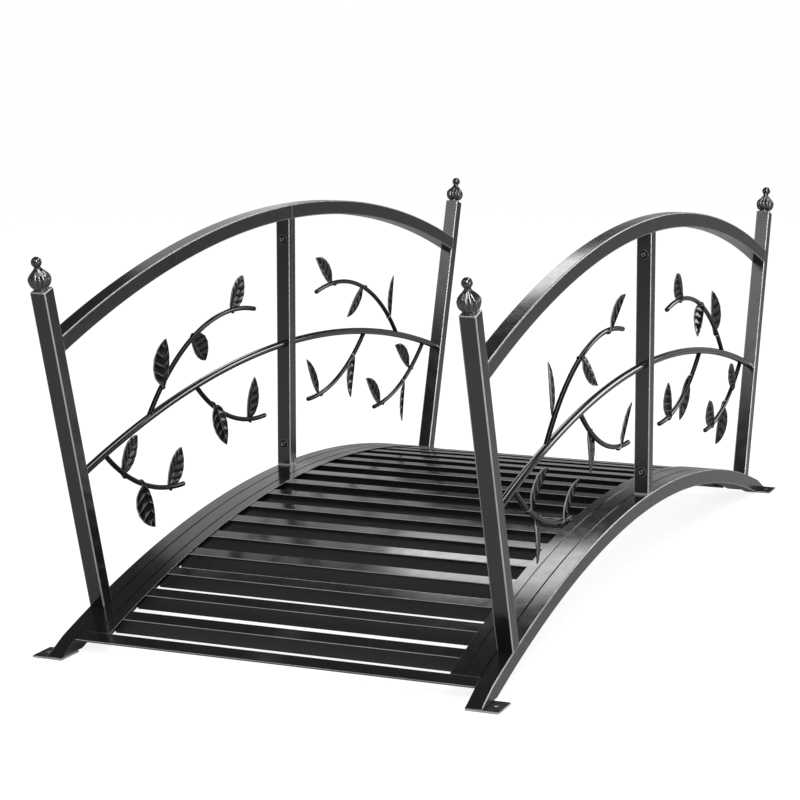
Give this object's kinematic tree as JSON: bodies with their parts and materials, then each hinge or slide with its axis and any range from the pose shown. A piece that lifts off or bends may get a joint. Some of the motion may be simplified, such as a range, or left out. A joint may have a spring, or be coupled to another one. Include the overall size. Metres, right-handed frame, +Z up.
{
  "type": "arched steel garden bridge",
  "caption": "Arched garden footbridge of square steel tube with a slatted deck, raked end posts with finials, and railings filled with leafy vine scrolls.",
  "frame": {"origin": "on the ground under the middle of the bridge", "axes": "+X along the walk towards the back end, +Y towards the left railing, +Z up"},
  "size_m": [1.6548, 0.72, 0.599],
  "materials": {
    "painted_steel": "semi-gloss black powder coat"
  },
  "bodies": {
    "root": {"back_end_bar": "painted_steel", "back_finials": "painted_steel", "back_left_end_post": "painted_steel", "back_left_foot_plate": "painted_steel", "back_left_handrail": "painted_steel", "back_left_mid_upright": "painted_steel", "back_left_side_beam": "painted_steel", "back_left_vine_rod": "painted_steel", "back_left_vine_sprigs": "painted_steel", "back_right_end_post": "painted_steel", "back_right_foot_plate": "painted_steel", "back_right_handrail": "painted_steel", "back_right_mid_upright": "painted_steel", "back_right_side_beam": "painted_steel", "back_right_vine_rod": "painted_steel", "back_right_vine_sprigs": "painted_steel", "back_slats": "painted_steel", "front_end_bar": "painted_steel", "front_finials": "painted_steel", "front_left_end_post": "painted_steel", "front_left_foot_plate": "painted_steel", "front_left_handrail": "painted_steel", "front_left_mid_upright": "painted_steel", "front_left_side_beam": "painted_steel", "front_left_vine_rod": "painted_steel", "front_left_vine_sprigs": "painted_steel", "front_right_end_post": "painted_steel", "front_right_foot_plate": "painted_steel", "front_right_handrail": "painted_steel", "front_right_mid_upright": "painted_steel", "front_right_side_beam": "painted_steel", "front_right_vine_rod": "painted_steel", "front_right_vine_sprigs": "painted_steel", "front_slats": "painted_steel", "left_deck_edge": "painted_steel", "left_deck_rail": "painted_steel", "right_deck_edge": "painted_steel", "right_deck_rail": "painted_steel"}
  },
  "joints": []
}
